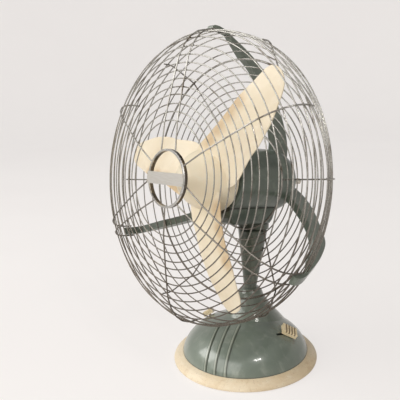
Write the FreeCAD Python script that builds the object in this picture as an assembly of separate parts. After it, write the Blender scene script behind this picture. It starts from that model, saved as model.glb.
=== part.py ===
import FreeCAD, Part
import math
import os

# Oscillating desk fan with a round weighted base, a leaning column and a wire guard.
# Millimetres, +Z up.  Origin: centre of the felt under the base.  The base faces -Y.
# The head is drawn in its own frame (x to the right seen from the front, up, d forward
# along the shaft from the middle of the guard) and is then tilted and swung into place.

V = FreeCAD.Vector
X_AXIS = V(1, 0, 0)
Y_AXIS = V(0, 1, 0)
Z_AXIS = V(0, 0, 1)

# --- rest position of the head ---
PIVOT = V(0, 34, 181.6)       # tilt axis, along X through the top of the column
TILT = 9.9                    # head raised at rest, degrees
SWING = -15.2                 # head turned at rest, degrees about the post
HEAD_RISE = 114.0             # shaft centre above the tilt axis
SWING_D = -121.0              # post axis on the shaft line

# --- clearances ---
RUN = 0.05                    # running fit on a radius
GAP = 0.3                     # free gap between moving bodies
SEAT = 0.03                   # welded or seated wires

# --- base ---
DOME_R = 104.6
RING_R = DOME_R + 15.4
PLATE_R = RING_R - 8.0
FELT_R = PLATE_R - 4.0
FELT_T = 1.6
PLATE_T = 2.0
RING_TOP = 15.7
WALL = 3.0
NECK_Y = 24.0
SCREW_R = DOME_R - 16.6
GLAND_Z = 28.0
# dome outline: share of the dome radius, height above the ring
DOME_SHAPE = [(1.0, 0.0), (0.9675, 9.8), (0.9006, 21.1), (0.8031, 31.3), (0.6692, 40.8), (0.5545, 46.8),
              (0.4302, 51.8), (0.239, 56.3), (0.0, 57.8)]
DOME = [(DOME_R * share, RING_TOP + rise) for share, rise in DOME_SHAPE]
# outline of the neck that grows out of the dome: radius, height
NECK = [(10.2, 116), (15.5, 114.5), (19.5, 109.5), (22.5, 101), (29, 90.5), (36.5, 80), (44.5, 70),
        (52.5, 60.5), (60, 51)]
RIB_FRONT = -34.0
POST_W = 5.0
SCREW_SHANK = 2.0
GLAND_BORE = 3.2
GLAND_STEM = 5.9
GLAND_SEAT_R = 9.0
GLAND_PROUD = 4.2
RIB_PITCH = 17.5
RIB_SIDE = -12.8              # middle bead beside the centre line
RIB_TURN = 10.0
RIB_STEPS = ((4.6, 0.7), (3.4, 1.3), (2.0, 1.7))     # width and height, stepped to a round top

# --- sliders on the shoulders of the base ---
SLIDER_POS = (DOME_R * 0.715, DOME_R * 0.103)
SLIDER_TRAVEL = 20.0
SLOT_W = 4.0
SLIDER_L = 25.0
SLIDER_W = 18.0
SLIDER_H = 8.5
SLIDER_LIFT = 2.2
SLIDER_SKEW = 33.0            # the block stands askew to its travel
GROOVE_R = 1.4
STEM = 3.2
RIDGE_PITCH = 5.0
SWITCH_W = 16.0
SWITCH_TOP = -10.5
SWITCH_LOW = -24.0
LUG_T = 3.0

# --- column and tilt knuckle ---
COLUMN_FOOT = (23.6, 115.0)   # y, z of the lower centre
COLUMN_TOP = (38.5, 220.0)
COLUMN_D0 = 20.5
COLUMN_D1 = 51.0
STUD_R = 6.0
STUD_DOWN = 26.0
STUD_UP = 8.0
CROWN_R = 39.0
TONGUE_T = 13.4
TONGUE_R = 12.0
PIN_R = 4.0
PIN_HALF = 15.5
POST_R = 6.0
CAP_R = 25.5                  # cap of the knuckle, hollowed to ride over the crown
CAP_LOW = 34.0
TILT_UP = 12.0                # degrees from rest
TILT_DOWN = 7.0

# --- motor housing ---
MOTOR_R = 52.0
MOTOR_FRONT = -36.0
MOTOR_SEAM = -92.0
MOTOR_WALL = 2.5
MOTOR_TAIL = [(MOTOR_R, -150), (MOTOR_R - 1.5, -158), (MOTOR_R - 5.5, -167), (MOTOR_R - 14, -177.5),
              (MOTOR_R - 26, -185.5), (MOTOR_R - 40, -189.3), (0, -190)]
SHAFT_R = 4.0
CORE_R = 30.0
CORE_LEN = 36.0
CORE_D = -60.0
WINDING_R = 33.4
WINDING_WIRE = 4.0               # clear of the link that passes below
WINDING_SEAT = 3.2               # the rings are pressed flat against the core
SLEEVE_R = 9.0                # outside of the two bearing sleeves
BRACKET_D = (-128.0, -124.0)
KNOB_X = 17.0                 # clutch knob beside the shaft
KNOB_ROD_R = 2.6
ARM_SCREW_AT = 44.0
ARM_SCREW_R = 2.0

# --- gear pan under the motor ---
PAN_W = 60.0
PAN_FLOOR = -70.0
PAN_WALL = 2.5
BOSS_R = 11.0
BOSS_TOP = -56.0
PAN_SIDE = [(-36, -36), (-36, -47), (-38.5, -59), (-43, -67), (-49, PAN_FLOOR), (-131, PAN_FLOOR),
            (-137, -64), (-142, -52), (-145, -40), (-145, -36)]
PAN_INSIDE = [(-40, -30), (-40, -47), (-42, -58), (-46, -64.5), (-50, PAN_FLOOR + 3),
              (-129, PAN_FLOOR + 3), (-134, -62), (-138.5, -52), (-141, -44), (-141, -30)]
PAN_SCREWS = ((0, -52), (-19, -82), (19, -82))
PAN_SCREW_R = 1.7
PAN_RISE = -(HEAD_RISE + PAN_FLOOR)       # pan floor above the tilt axis, as a depth

# --- oscillation drive ---
WORM_D = -150.0
WORM_R = 5.6
WHEEL_R = 7.6
WHEEL_X = -(WORM_R + WHEEL_R + GAP)
WHEEL_TEETH = 20
WHEEL_Y = -(WORM_D - SWING_D)             # wheel behind the post
CRANK = 7.0
CRANK_R = 10.2
SPINDLE_R = 3.0
ANCHOR = 10.9
ANCHOR_AZ = 205.0                         # square to the line from post to wheel
ANCHOR_Z = HEAD_RISE - 54.0               # anchor arm above the tilt axis
ARM_PLATE = 4.0
LINK_PIN_R = 2.0
LINK_W = 8.4
LINK_LOW = -41.5
LINK_T = 3.0
SHELF_UP = (-33.5, -30.5)

# --- rotor ---
SPINNER = [(50, -31), (49.6, -20), (48, -8), (44.5, 4), (39.5, 14), (32, 24), (23, 33), (13, 41),
           (5, 46.5), (0, 48)]
SPINNER_WALL = 2.4
BUSH_R = 10.0
WEB_D = (-23.0, -20.0)
BLADE_T = 1.6
BLADE_DISH = 2.5
BLADE_HALF = 66.0
CURL_FROM = 12.0              # the leading side curls back from here
CURL = 0.004
BLADE_AZ = 43.5               # centre line of the first blade at rest
# distance out, slope across the blade, depth of its centre line
BLADE_SECTIONS = [(18, 0.22, -2.5), (60, 0.22, -2.5), (95, 0.22, -4.0), (125, 0.22, -7.5),
                  (155, 0.21, -12.5), (180, 0.20, -17.5), (212, 0.20, -22.0)]
# outline as angle from the centre line and radius
BLADE_OUTLINE = [(-57, 47), (-47, 61), (-31.5, 79), (-21, 99), (-16.5, 116), (-12.3, 132), (-7.7, 153),
                 (-3, 174), (-0.3, 189), (3, 201.5), (7.5, 206.5), (11, 202), (12.8, 192), (14.2, 172),
                 (16.3, 152), (18.5, 130), (21, 108), (25.5, 88), (34, 69), (46, 56), (57, 47)]

# --- guard ---
RING_WIRE = 0.9
SPOKE_WIRE = 1.1
RIM_WIRE = 1.05
KNEE_WIRE = 1.6
HUB_R = 43.2
HUB_WALL = 3.0
HUB_MID = 66.0                # depth of the middle of the hub ring
HUB_DEEP = 7.6
HUB_D = (HUB_MID - HUB_DEEP / 2, HUB_MID + HUB_DEEP / 2)
STRAP_H = 18.0
STRAP_T = 1.4
FRONT_RINGS = [84.4, 97, 108.7, 122, 133, 145, 157, 168, 180, 193, 207]
REAR_RINGS = [97.5, 109, 120.5, 132, 143.5, 155, 166.5, 178]
SHOULDER_RINGS = [199.5, 209.5]
PAIR_AT_HUB = 16.5
PAIR_AT_RIM = 9.0
PAIR_STEP = 0.5               # the pairs meet the hub ring aslant and stop a little short
ARM_W = 12.5
ARMS = {"guard_arm_top": 88.5, "guard_arm_left": 208.5, "guard_arm_right": 328.5}
FRONT_PHASE = -1.5            # front spokes against the even sixths of the circle
REAR_PHASE = 4.0
SPOKE_BEND = 14.0
KNEE_BEND = 8.0
KNEE_R = 189.0
RIM_D = (18.0, 7.0, -4.0)     # rim wires carried by the front spokes
SHOULDER_D = (-30.0, -17.5)   # rim wires carried by the rear spokes
# outlines as radius and depth
FRONT_LINE = [(HUB_R + 0.1, HUB_MID + 1.2), (84, 66), (140, 57.5), (178, 50.5), (196, 43), (211, 31.5),
              (219.5, 19.5), (223.5, 6), (223.5, -12)]
REAR_SPOKE = [(82.0, -93.1), (190.8, -64.6), (220.5, -32), (223.5, -24), (223.5, -12)]
ARM_OUTER = [(30, -187), (44, -186.5), (67, -183), (101, -168), (144, -141), (166, -125), (187, -98),
             (203.5, -70), (219, -37), (229, -12), (229.6, 0), (227, 4)]
ARM_INNER = [(222.4, 4), (222.4, -17.5), (219.9, -30), (206.8, -44.5), (191.4, -61.6), (177, -84),
             (159, -103), (133, -123), (95, -141), (61, -151)]


# --- general helpers ---

def save(shapes, name):
    """Write one sub-part; several pieces of one kind go in as separate solids."""
    body = Part.makeCompound(shapes) if isinstance(shapes, list) else shapes
    body.exportStep("parts/" + name + ".step")


def polar(r, az, z=0.0):
    a = math.radians(az)
    return V(r * math.cos(a), r * math.sin(a), z)


def turned(profile, inner=None):
    """Solid of revolution about Z from (r, z) points; open profiles close on the axis."""
    pts = [V(r, 0, z) for r, z in profile]
    if inner is not None:
        pts += [V(r, 0, z) for r, z in reversed(inner)]
    else:
        if pts[-1].x > 0:
            pts.append(V(0, 0, pts[-1].z))
        if pts[0].x > 0:
            pts.append(V(0, 0, pts[0].z))
    face = Part.Face(Part.makePolygon(pts + [pts[0]]))
    return solid_of(face.revolve(V(0, 0, 0), Z_AXIS, 360))


def smooth_turned(profile, close):
    """Solid of revolution whose outline is one curve through the points, then the close points."""
    curve = Part.BSplineCurve()
    curve.interpolate([V(r, 0, z) for r, z in profile])
    tail = [V(profile[-1][0], 0, profile[-1][1])] + [V(r, 0, z) for r, z in close]
    tail.append(V(profile[0][0], 0, profile[0][1]))
    face = Part.Face(Part.Wire([curve.toShape()] + list(Part.makePolygon(tail).Edges)))
    return solid_of(face.revolve(V(0, 0, 0), Z_AXIS, 360))


def solid_of(shape):
    found = shape.Solids
    return found[0] if found else Part.Solid(Part.Shell(shape.Faces))


def rod(r, start, end):
    return Part.makeCylinder(r, (end - start).Length, start, end - start)


def tube(r_out, r_in, start, end):
    return rod(r_out, start, end).cut(rod(r_in, start, end))


def box(x0, x1, y0, y1, z0, z1):
    return Part.makeBox(x1 - x0, y1 - y0, z1 - z0, V(x0, y0, z0))


def torus(r, z, wire):
    return Part.makeTorus(r, wire, V(0, 0, z))


def bent_path(points, bend):
    """Straight runs joined by tangent arcs."""
    edges = []
    here = points[0]
    for i in range(1, len(points) - 1):
        p = points[i]
        a = (points[i - 1] - p).normalize()
        b = (points[i + 1] - p).normalize()
        turn = math.pi - a.getAngle(b)
        reach = bend * math.tan(turn / 2)
        half = (a + b).normalize()
        t0 = p + a * reach
        t1 = p + b * reach
        mid = p + half * (bend / math.cos(turn / 2) - bend)
        edges.append(Part.LineSegment(here, t0).toShape())
        edges.append(Part.Arc(t0, mid, t1).toShape())
        here = t1
    edges.append(Part.LineSegment(here, points[-1]).toShape())
    return Part.Wire(edges)


def wire_along(path, r):
    first = path.Edges[0]
    start = first.valueAt(first.FirstParameter)
    heading = first.tangentAt(first.FirstParameter)
    ring = Part.Wire(Part.makeCircle(r, start, heading))
    return path.makePipeShell([ring], True, False)


# --- placing ---

KNUCKLE_PLACE = FreeCAD.Placement(PIVOT, FreeCAD.Rotation(X_AXIS, -TILT))
HEAD_TURN = FreeCAD.Placement(V(0, 0, 0), FreeCAD.Rotation(Z_AXIS, SWING))
HEAD_UPRIGHT = FreeCAD.Placement(V(0, SWING_D, HEAD_RISE), FreeCAD.Rotation(X_AXIS, 90))
HEAD_PLACE = KNUCKLE_PLACE.multiply(HEAD_TURN).multiply(HEAD_UPRIGHT)


def placed(shapes, placement):
    out = []
    for s in shapes if isinstance(shapes, list) else [shapes]:
        moved = s.copy()
        moved.Placement = placement.multiply(moved.Placement)
        out.append(moved)
    return out if isinstance(shapes, list) else out[0]


def save_head(shapes, name):
    save(placed(shapes, HEAD_PLACE), name)


def save_knuckle(shapes, name):
    save(placed(shapes, KNUCKLE_PLACE), name)


# --- base ---

def inset(profile, t):
    """The same outline moved inward and down by t, for the inside of a shell."""
    return [(max(r - t, 0.0), z - (t if r < 60 else 0.6 * t)) for r, z in profile]


def dome_body(grow=0.0):
    """Outside of the dome, or the same grown outward."""
    profile = [(max(r + (grow if r > 0 else 0), 0), z + grow) for r, z in DOME]
    return smooth_turned(profile, [(0, DOME[0][1] + grow)])


def neck_body(profile, lowest):
    body = turned(profile + [(profile[-1][0], lowest)])
    body.translate(V(0, NECK_Y, 0))
    return body


def slider_frame(side):
    """Placement of a slider: local X along its travel, local Z out of the dome."""
    x, y = SLIDER_POS
    travel = V(-0.373, -0.908, 0.194) if side > 0 else V(0.10, 0.985, -0.14)
    normal = V(side * 0.56, 0.02, 0.83)
    along = (travel - normal * (travel.dot(normal) / normal.dot(normal))).normalize()
    out = normal.normalize()
    cross = out.cross(along)
    m = FreeCAD.Matrix(along.x, cross.x, out.x, side * x, along.y, cross.y, out.y, y,
                       along.z, cross.z, out.z, slider_height(), 0, 0, 0, 1)
    return FreeCAD.Placement(m)


def slider_height():
    """Height of the dome where a slider sits."""
    r = math.hypot(*SLIDER_POS)
    for (r0, z0), (r1, z1) in zip(DOME, DOME[1:]):
        if r1 <= r <= r0:
            return z0 + (z1 - z0) * (r0 - r) / (r0 - r1)
    return DOME[0][1]


def base_dome():
    outside = dome_body().fuse(neck_body(NECK, DOME[0][1]))
    inside = dome_body()
    low = DOME[0][1]
    shell_in = smooth_turned(inset(DOME, WALL)[:-1] + [(0, DOME[-1][1] - WALL)], [(0, low - 8)])
    neck_in = neck_body([(r - WALL, z - WALL) for r, z in NECK[3:]], low - 8)
    hollow = shell_in.fuse(neck_in)
    skirt = tube(DOME_R - 3.2, DOME_R - 3.2 - WALL, V(0, 0, FELT_T + PLATE_T), V(0, 0, low + 1))
    beads = []
    for k in (-1, 0, 1):
        for width, height in RIB_STEPS:
            at = RIB_SIDE + k * RIB_PITCH
            slab = box(at - width / 2, at + width / 2, -DOME_R, RIB_FRONT, low, 80)
            slab.rotate(V(0, 0, 0), Z_AXIS, RIB_TURN)
            beads.append(slab.common(dome_body(height)).cut(inside))
    gland_seat = rod(GLAND_SEAT_R, V(0, 80, GLAND_Z), V(0, dome_reach(GLAND_Z) + GLAND_PROUD, GLAND_Z))
    posts = [post.common(outside) for post in screw_posts()]
    lugs = [lug.common(outside) for side in (1, -1) for lug in switch_lugs(side)]
    shell = outside.fuse(beads + [gland_seat]).cut(hollow).fuse([skirt] + posts + lugs).cut(plate_screws())
    for side in (1, -1):
        slot = box(-SLOT_W, SLIDER_TRAVEL + SLOT_W, -SLOT_W / 2, SLOT_W / 2, -12, 8)
        shell = shell.cut(placed(slot, slider_frame(side)))
    shell = shell.cut(rod(GLAND_STEM, V(0, DOME_R - 30, GLAND_Z), V(0, DOME_R + 10, GLAND_Z)))
    shell = shell.cut(column_stud())
    return shell.removeSplitter()


def base_ring():
    outline = [(PLATE_R + 0.2, 1.0), (RING_R - 2.5, 1.0), (RING_R - 0.4, 2.2), (RING_R, 4.2),
               (RING_R - 1.0, 6.8), (RING_R - 3.6, 9.8), (RING_R - 8.0, 13.0), (DOME_R + 0.6, RING_TOP),
               (DOME_R - 3.1, RING_TOP - 0.4), (DOME_R - 3.1, FELT_T + PLATE_T),
               (PLATE_R + 0.2, FELT_T + PLATE_T)]
    return turned(outline[1:], inner=[outline[0]])


def column_stud():
    foot = V(0, COLUMN_FOOT[0], COLUMN_FOOT[1])
    lean = V(0, COLUMN_TOP[0] - COLUMN_FOOT[0], COLUMN_TOP[1] - COLUMN_FOOT[1]).normalize()
    return rod(STUD_R, foot - lean * STUD_DOWN, foot + lean * STUD_UP)


def column():
    foot = V(0, COLUMN_FOOT[0], COLUMN_FOOT[1])
    top = V(0, COLUMN_TOP[0], COLUMN_TOP[1])
    lean = (top - foot)
    span = lean.Length
    cone = Part.makeCone(COLUMN_D0 / 2, COLUMN_D1 / 2, span, foot, lean)
    cone = cone.common(Part.makeSphere(CROWN_R, PIVOT).fuse(box(-40, 40, -40, 90, 100, PIVOT.z)))
    body = cone.fuse(column_stud())
    body = body.cut(neck_body(NECK, 60).common(box(-40, 40, -40, 90, 100, 116.1)).cut(column_stud()))
    body = body.cut(knuckle_pocket())
    return body.cut(rod(PIN_R, PIVOT - X_AXIS * PIN_HALF, PIVOT + X_AXIS * 30))


def knuckle_pocket():
    """Slot in the column head in which the tongue tilts."""
    half = TONGUE_T / 2 + GAP
    low = rod(TONGUE_R + 0.5, PIVOT - X_AXIS * half, PIVOT + X_AXIS * half)
    lean_back = TILT + TILT_UP + 1
    lean_front = TILT_DOWN - TILT + 1
    rise = CROWN_R + 10
    reach = POST_R + 0.6
    back = math.radians(lean_back)
    front = math.radians(-lean_front)
    pts = []
    for ang, side in ((front, -1), (back, 1)):
        up = V(0, math.sin(ang), math.cos(ang))
        out = V(0, math.cos(ang), -math.sin(ang)) * side * reach
        pts.append((PIVOT + out, PIVOT + out + up * rise))
    loop = [pts[0][0], pts[0][1], pts[1][1], pts[1][0]]
    face = Part.Face(Part.makePolygon([p - X_AXIS * half for p in loop + [loop[0]]]))
    return low.fuse(face.extrude(X_AXIS * (2 * half)))


def base_plate():
    plate = rod(PLATE_R, V(0, 0, FELT_T), V(0, 0, FELT_T + PLATE_T))
    return plate.cut(plate_screws())


def plate_screws():
    """Three countersunk screws up into the posts of the dome."""
    out = []
    for k in range(3):
        p = polar(SCREW_R, 60 + 120 * k)
        shank = rod(SCREW_SHANK, p + Z_AXIS * FELT_T, p + Z_AXIS * 22)
        head = Part.makeCone(SCREW_SHANK + 1.6, SCREW_SHANK, 1.6, p + Z_AXIS * FELT_T)
        out.append(shank.fuse(head).removeSplitter())
    return out


def felt_pad():
    return rod(FELT_R, V(0, 0, 0), V(0, 0, FELT_T))


def screw_posts():
    """Three cast posts that stand on the plate and grow into the inside of the dome."""
    posts = []
    for k in range(3):
        p = polar(SCREW_R, 60 + 120 * k)
        posts.append(rod(POST_W, p + Z_AXIS * (FELT_T + PLATE_T), p + Z_AXIS * DOME[0][1] * 3))
    return posts


def slider(side):
    """Cream finger block with five grip ridges, and the stem through the slot."""
    lift = SLIDER_LIFT
    block = box(-SLIDER_L / 2, SLIDER_L / 2, -SLIDER_W / 2, SLIDER_W / 2, lift, lift + SLIDER_H)
    top_edges = [e for e in block.Edges if abs(e.CenterOfMass.z - lift - SLIDER_H) < 0.01]
    block = block.makeFillet(1.6, top_edges)
    for k in range(4):
        x = (k - 1.5) * RIDGE_PITCH
        groove = rod(GROOVE_R, V(x, -SLIDER_W, lift + SLIDER_H), V(x, SLIDER_W, lift + SLIDER_H))
        block = block.cut(groove)
    block.rotate(V(0, 0, 0), Z_AXIS, -side * SLIDER_SKEW)
    stem = box(-STEM / 2, STEM / 2, -STEM / 2, STEM / 2, -7.5, lift + 1)
    return placed(block.fuse(stem).removeSplitter(), slider_frame(side))


def switch_body(side):
    """Switch case carried under the dome below its slot."""
    half = SWITCH_W / 2
    case = box(-half, SLIDER_TRAVEL + half, -half, half, SWITCH_LOW, SWITCH_TOP)
    return placed(case, slider_frame(side))


def switch_lugs(side):
    """Two cast lugs under the dome, one at each end of a switch case."""
    half = SWITCH_W / 2
    starts = (-half, SLIDER_TRAVEL + half - LUG_T)
    return [placed(box(x, x + LUG_T, -half, half, SWITCH_TOP, 0), slider_frame(side)) for x in starts]


def cable_gland():
    gland = turned([(GLAND_STEM, -9), (GLAND_STEM, 0), (8.5, 0), (8.5, 2), (6.5, 3), (5.2, 11), (5.2, 12)],
                   inner=[(GLAND_BORE, -9), (GLAND_BORE, 12)])
    gland.rotate(V(0, 0, 0), X_AXIS, -90)
    gland.translate(V(0, dome_reach(GLAND_Z) + GLAND_PROUD, GLAND_Z))
    return gland


def dome_reach(z):
    for (r0, z0), (r1, z1) in zip(DOME, DOME[1:]):
        if z0 <= z <= z1:
            return r0 + (r1 - r0) * (z - z0) / (z1 - z0)
    return DOME[0][0]


# --- tilt knuckle, drawn about the tilt axis with Z along the post ---

def tilt_knuckle():
    half = TONGUE_T / 2
    tongue = rod(TONGUE_R, V(-half, 0, 0), V(half, 0, 0))
    neck = box(-half, half, -POST_R, POST_R, 0, CROWN_R + 1)
    cap = rod(CAP_R, V(0, 0, CAP_LOW), V(0, 0, -PAN_RISE - GAP))
    cap = cap.makeChamfer(1.2, [e for e in cap.Edges if e.CenterOfMass.z > CROWN_R])
    cap = cap.cut(Part.makeSphere(CROWN_R + 0.6))
    post = rod(POST_R, V(0, 0, CROWN_R), V(0, 0, ANCHOR_Z + ARM_PLATE))
    body = tongue.fuse([neck, cap, post])
    return body.cut(rod(PIN_R + RUN, V(-20, 0, 0), V(20, 0, 0))).removeSplitter()


def tilt_pin():
    return rod(PIN_R, PIVOT - X_AXIS * PIN_HALF, PIVOT + X_AXIS * PIN_HALF)


def anchor_point(swing):
    """Anchor pin in head coordinates (x, y behind the post) with the head turned by swing."""
    a = math.radians(ANCHOR_AZ - swing)
    return ANCHOR * math.cos(a), ANCHOR * math.sin(a)


def link_length():
    return math.sqrt(math.hypot(WHEEL_X, WHEEL_Y) ** 2 + ANCHOR ** 2)


def crank_point(swing):
    """Crank pin that keeps the link at its length: the crossing of two circles."""
    qx, qy = anchor_point(swing)
    dx = qx - WHEEL_X
    dy = qy - WHEEL_Y
    m = math.hypot(dx, dy)
    cos_a = (m * m + CRANK * CRANK - link_length() ** 2) / (2 * m * CRANK)
    a = math.atan2(dy, dx) + math.acos(max(-1.0, min(1.0, cos_a)))
    return WHEEL_X + CRANK * math.cos(a), WHEEL_Y + CRANK * math.sin(a)


def head_point(x, y, up):
    """Head coordinates of a point given sideways and behind the post."""
    return V(x, up, SWING_D - y)


def bar(p, q, width, up0, up1):
    """Flat link with round ends between two (x, y) points."""
    a = head_point(p[0], p[1], up0)
    b = head_point(q[0], q[1], up0)
    along = b - a
    height = V(0, up1 - up0, 0)
    side = along.cross(height).normalize() * (width / 2)
    strip = Part.Face(Part.makePolygon([a + side, b + side, b - side, a - side, a + side])).extrude(height)
    return strip.fuse([rod(width / 2, a, a + height), rod(width / 2, b, b + height)])


def anchor_arm():
    a = math.radians(ANCHOR_AZ)
    tip = V(ANCHOR * math.cos(a), ANCHOR * math.sin(a), ANCHOR_Z)
    hub = rod(POST_R + 4, V(0, 0, ANCHOR_Z), V(0, 0, ANCHOR_Z + ARM_PLATE))
    eye = rod(LINK_W / 2, tip, tip + Z_AXIS * ARM_PLATE)
    pin_top = HEAD_RISE + LINK_LOW - GAP
    pin = rod(LINK_PIN_R, tip, V(tip.x, tip.y, pin_top))
    return hub.fuse([eye, pin]).cut(rod(POST_R, V(0, 0, 0), V(0, 0, 90))).removeSplitter()


# --- pan and motor housing, head frame (x, up, d) ---

def motor_profile(shrink=0.0):
    front = [(0, MOTOR_FRONT - shrink), (MOTOR_R - 5 - shrink, MOTOR_FRONT - shrink),
             (MOTOR_R - 1.6 - shrink, MOTOR_FRONT - 1.4 - shrink),
             (MOTOR_R - shrink, MOTOR_FRONT - 5 - shrink)]
    tail = [(max(r - shrink, 0), z + (shrink if r < 50 else 0)) for r, z in MOTOR_TAIL]
    return front + tail


def motor_body(shrink=0.0):
    return turned(motor_profile(shrink))


def gear_pan():
    half = PAN_W / 2
    pts = [V(-half, up, d) for d, up in PAN_SIDE]
    body = Part.Face(Part.makePolygon(pts + [pts[0]])).extrude(V(PAN_W, 0, 0))
    edges = [e for e in body.Edges if abs(abs(e.CenterOfMass.x) - half) < 0.01 and e.CenterOfMass.y < -38]
    body = body.makeFillet(7.0, edges)
    inner_half = half - PAN_WALL
    ipts = [V(-inner_half, up, d) for d, up in PAN_INSIDE]
    hollow = Part.Face(Part.makePolygon(ipts + [ipts[0]])).extrude(V(2 * inner_half, 0, 0))
    low = [e for e in hollow.Edges
           if abs(abs(e.CenterOfMass.x) - inner_half) < 0.01 and e.CenterOfMass.y < -38]
    hollow = hollow.makeFillet(5.0, low)
    pan = body.cut(hollow)
    boss = rod(BOSS_R, V(0, PAN_FLOOR, SWING_D), V(0, BOSS_TOP, SWING_D))
    pan = pan.fuse(boss)
    pan = pan.cut(rod(POST_R + RUN, V(0, -90, SWING_D), V(0, -30, SWING_D)))
    pan = pan.cut(motor_body())
    for s in pan_screws():
        pan = pan.cut(s)
    return max(pan.Solids, key=lambda s: s.Volume)


def pan_screws():
    out = []
    for x, d in PAN_SCREWS:
        near = max(abs(x) - PAN_SCREW_R, 0)
        top = -math.sqrt((MOTOR_R - MOTOR_WALL) ** 2 - near ** 2) - 0.4
        shank = rod(PAN_SCREW_R, V(x, PAN_FLOOR - 0.2, d), V(x, top, d))
        cap = Part.makeCone(2.6, 3.4, 1.8, V(x, PAN_FLOOR - 1.8, d), Y_AXIS)
        slot = box(x - 4, x + 4, PAN_FLOOR - 2, PAN_FLOOR - 1.1, d - 0.4, d + 0.4)
        out.append(shank.fuse(cap).cut(slot).removeSplitter())
    return out


def motor_shell(front):
    shell = motor_body().cut(motor_body(MOTOR_WALL))
    cutter = box(-80, 80, -80, 80, MOTOR_SEAM if front else -300, 0 if front else MOTOR_SEAM)
    shell = shell.common(cutter)
    if front:
        shell = shell.fuse(rod(SLEEVE_R + 4, V(0, 0, -50), V(0, 0, MOTOR_FRONT - 1)))
        shell = shell.cut(rod(SLEEVE_R, V(0, 0, -60), V(0, 0, -30)))
    else:
        shell = shell.cut(box(-26, 26, -60, -30, -140, -102))
        for az in ARMS.values():
            p = polar(ARM_SCREW_AT, az)
            post = rod(4.2, V(p.x, p.y, -176), V(p.x, p.y, -152)).common(motor_body())
            shell = shell.fuse(post).cut(rod(ARM_SCREW_R, V(p.x, p.y, -200), V(p.x, p.y, -155)))
        knob = V(KNOB_X, 0, 0)
        guide = rod(6, knob + Z_AXIS * -189.5, knob + Z_AXIS * -165).common(motor_body())
        bore = rod(KNOB_ROD_R + RUN, knob + Z_AXIS * -200, knob + Z_AXIS * -150)
        shell = shell.fuse(guide).cut(bore)
    for s in pan_screws():
        shell = shell.cut(s)
    return shell.removeSplitter()


def oscillation_knob():
    """Push-pull clutch rod with a small round knob behind the motor."""
    rod_part = rod(KNOB_ROD_R, V(KNOB_X, 0, -214), V(KNOB_X, 0, -160))
    knob = turned([(0, -213.5), (3.4, -213), (5.0, -210.5), (5.0, -204), (4.0, -202.2), (3.4, -200),
                   (0, -200)])
    knob.translate(V(KNOB_X, 0, 0))
    return rod_part.fuse(knob).common(box(-40, 40, -20, 20, -213.5, -100)).removeSplitter()


def stator_core():
    return tube(MOTOR_R - MOTOR_WALL, CORE_R + 1, V(0, 0, CORE_D - CORE_LEN), V(0, 0, CORE_D))


def windings():
    back = CORE_D - CORE_LEN
    front = torus(WINDING_R, CORE_D + WINDING_SEAT, WINDING_WIRE)
    rear = torus(WINDING_R, back - WINDING_SEAT, WINDING_WIRE)
    core = box(-MOTOR_R, MOTOR_R, -MOTOR_R, MOTOR_R, back, CORE_D)
    return [front.cut(core), rear.cut(core)]


def rotor_core():
    return tube(CORE_R, SHAFT_R, V(0, 0, CORE_D - CORE_LEN), V(0, 0, CORE_D))


def motor_shaft():
    return rod(SHAFT_R, V(0, 0, -163), V(0, 0, 10))


def front_bush():
    return tube(SLEEVE_R, SHAFT_R + RUN, V(0, 0, -50), V(0, 0, MOTOR_FRONT + 1.5))


def rear_bush():
    return tube(SLEEVE_R, SHAFT_R + RUN, V(0, 0, -132), V(0, 0, -120))


def rear_bracket():
    plate = rod(MOTOR_R - MOTOR_WALL, V(0, 0, BRACKET_D[0]), V(0, 0, BRACKET_D[1]))
    plate = plate.common(box(-60, 60, SHELF_UP[1], 60, -140, -110))
    for az in (30, 150):
        p = polar(32, az)
        plate = plate.cut(rod(9, V(p.x, p.y, -140), V(p.x, p.y, -110)))
    return plate.cut(rod(SLEEVE_R, V(0, 0, -140), V(0, 0, -110)))


def spindle_shelf():
    shelf = box(-60, 60, SHELF_UP[0], SHELF_UP[1], -168, BRACKET_D[1]).common(motor_body(MOTOR_WALL))
    axis = head_point(WHEEL_X, WHEEL_Y, 0)
    return shelf.cut(rod(SPINDLE_R + RUN, axis - Y_AXIS * 50, axis))


def worm():
    profile = [(SHAFT_R, WORM_D + 9), (WORM_R - 1, WORM_D + 9)]
    for k in range(8):
        z = WORM_D + 8 - 2 * k
        profile += [(WORM_R - 1, z + 0.5), (WORM_R, z + 0.1), (WORM_R, z - 0.3), (WORM_R - 1, z - 0.7)]
    profile += [(WORM_R - 1, WORM_D - 9), (SHAFT_R, WORM_D - 9)]
    return turned(profile[1:-1], inner=[(SHAFT_R, WORM_D + 9), (SHAFT_R, WORM_D - 9)])


def worm_wheel():
    axis = head_point(WHEEL_X, WHEEL_Y, 0)
    wheel = rod(WHEEL_R, axis - Y_AXIS * 3.5, axis + Y_AXIS * 3.5)
    for k in range(WHEEL_TEETH):
        a = 2 * math.pi * k / WHEEL_TEETH
        p = axis + V(math.cos(a), 0, math.sin(a)) * (WHEEL_R + 0.1)
        wheel = wheel.cut(rod(0.6, p - Y_AXIS * 5, p + Y_AXIS * 5))
    return wheel.cut(rod(SPINDLE_R, axis - Y_AXIS * 9, axis + Y_AXIS * 9))


def wheel_spindle():
    axis = head_point(WHEEL_X, WHEEL_Y, 0)
    return rod(SPINDLE_R, axis - Y_AXIS * 34.5, axis + Y_AXIS * 6)


def crank_disc():
    axis = head_point(WHEEL_X, WHEEL_Y, 0)
    px, py = crank_point(SWING)
    pin = head_point(px, py, 0)
    disc = rod(CRANK_R, axis - Y_AXIS * 37.9, axis - Y_AXIS * 34.5)
    stud = rod(LINK_PIN_R, pin + Y_AXIS * (LINK_LOW - 0.6), pin - Y_AXIS * 37)
    cap = rod(LINK_PIN_R + 1.2, pin + Y_AXIS * (LINK_LOW - 1.2), pin + Y_AXIS * (LINK_LOW - 0.3))
    return disc.fuse([stud, cap]).removeSplitter()


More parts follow.
